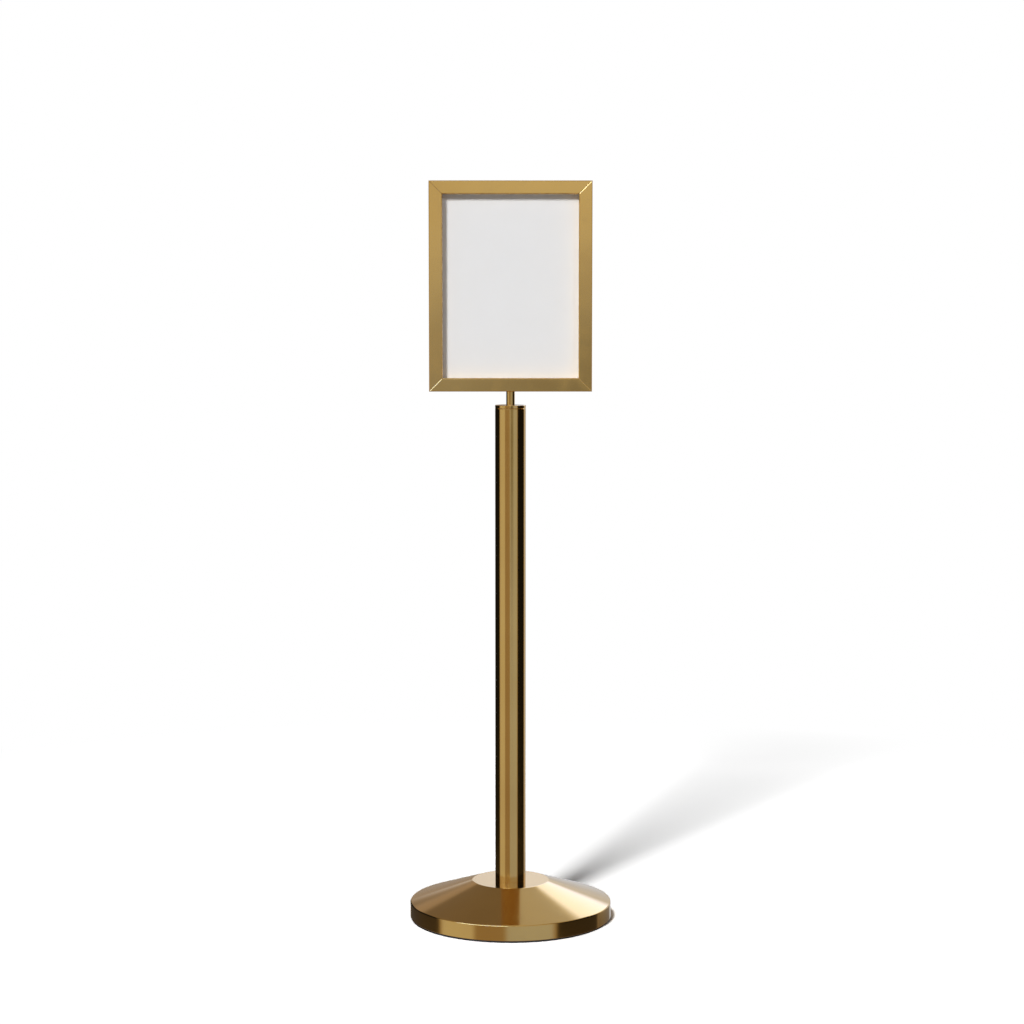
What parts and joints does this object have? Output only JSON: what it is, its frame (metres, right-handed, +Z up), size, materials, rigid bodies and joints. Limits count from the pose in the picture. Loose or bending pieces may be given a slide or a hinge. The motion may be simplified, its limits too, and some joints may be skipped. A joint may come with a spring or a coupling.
{
  "type": "sign stand",
  "caption": "Floor sign stand with a weighted round base, a straight round post, a swivelling mitred frame and a white sign sheet that slides out through the top rail.",
  "frame": {"origin": "on the floor, under the centre of the post", "axes": "+Z up along the post, the sign faces -Y, +X to the right of someone who reads the sign"},
  "size_m": [0.335, 0.335, 1.2222],
  "materials": {
    "polished_brass": "polished, fine grain along the turning marks",
    "frame_brass": "satin polished, grain along the rails",
    "black_rubber": "matt",
    "cast_weight": "rough cast, black paint",
    "zinc_steel": "zinc plated",
    "spring_steel": "oiled",
    "black_steel": "black oxide",
    "bush_bronze": "sintered bronze",
    "white_nylon": "natural nylon",
    "back_board": "matt black sheet",
    "white_sign": "matt white sheet, bare"
  },
  "bodies": {
    "stand": {"floor_ring": "black_rubber", "base_weight": "cast_weight", "base_cover": "polished_brass", "base_bolt": "zinc_steel", "base_washer": "zinc_steel", "lock_washer": "spring_steel", "post_tube": "polished_brass", "foot_plug": "zinc_steel", "post_cap": "polished_brass", "stem_bush": "bush_bronze"},
    "head": {"stem": "polished_brass", "thrust_washer": "white_nylon", "disc_spring": "spring_steel", "retaining_ring": "spring_steel", "stem_block": "zinc_steel", "top_rail": "frame_brass", "bottom_rail": "frame_brass", "left_rail": "frame_brass", "right_rail": "frame_brass", "corner_keys": "zinc_steel", "corner_screws": "black_steel", "back_panel": "back_board"},
    "sign": {"sign_panel": "white_sign"}
  },
  "joints": [
    {"name": "frame_swivel", "type": "hinge", "parent": "stand", "child": "head", "pos_m": [0, 0, 0.8569], "axis": [0, 0, 1], "continuous": true},
    {"name": "sign_slide", "type": "slide", "parent": "head", "child": "sign", "axis": [0, 0, 1], "range_m": [0, 0.31]}
  ]
}
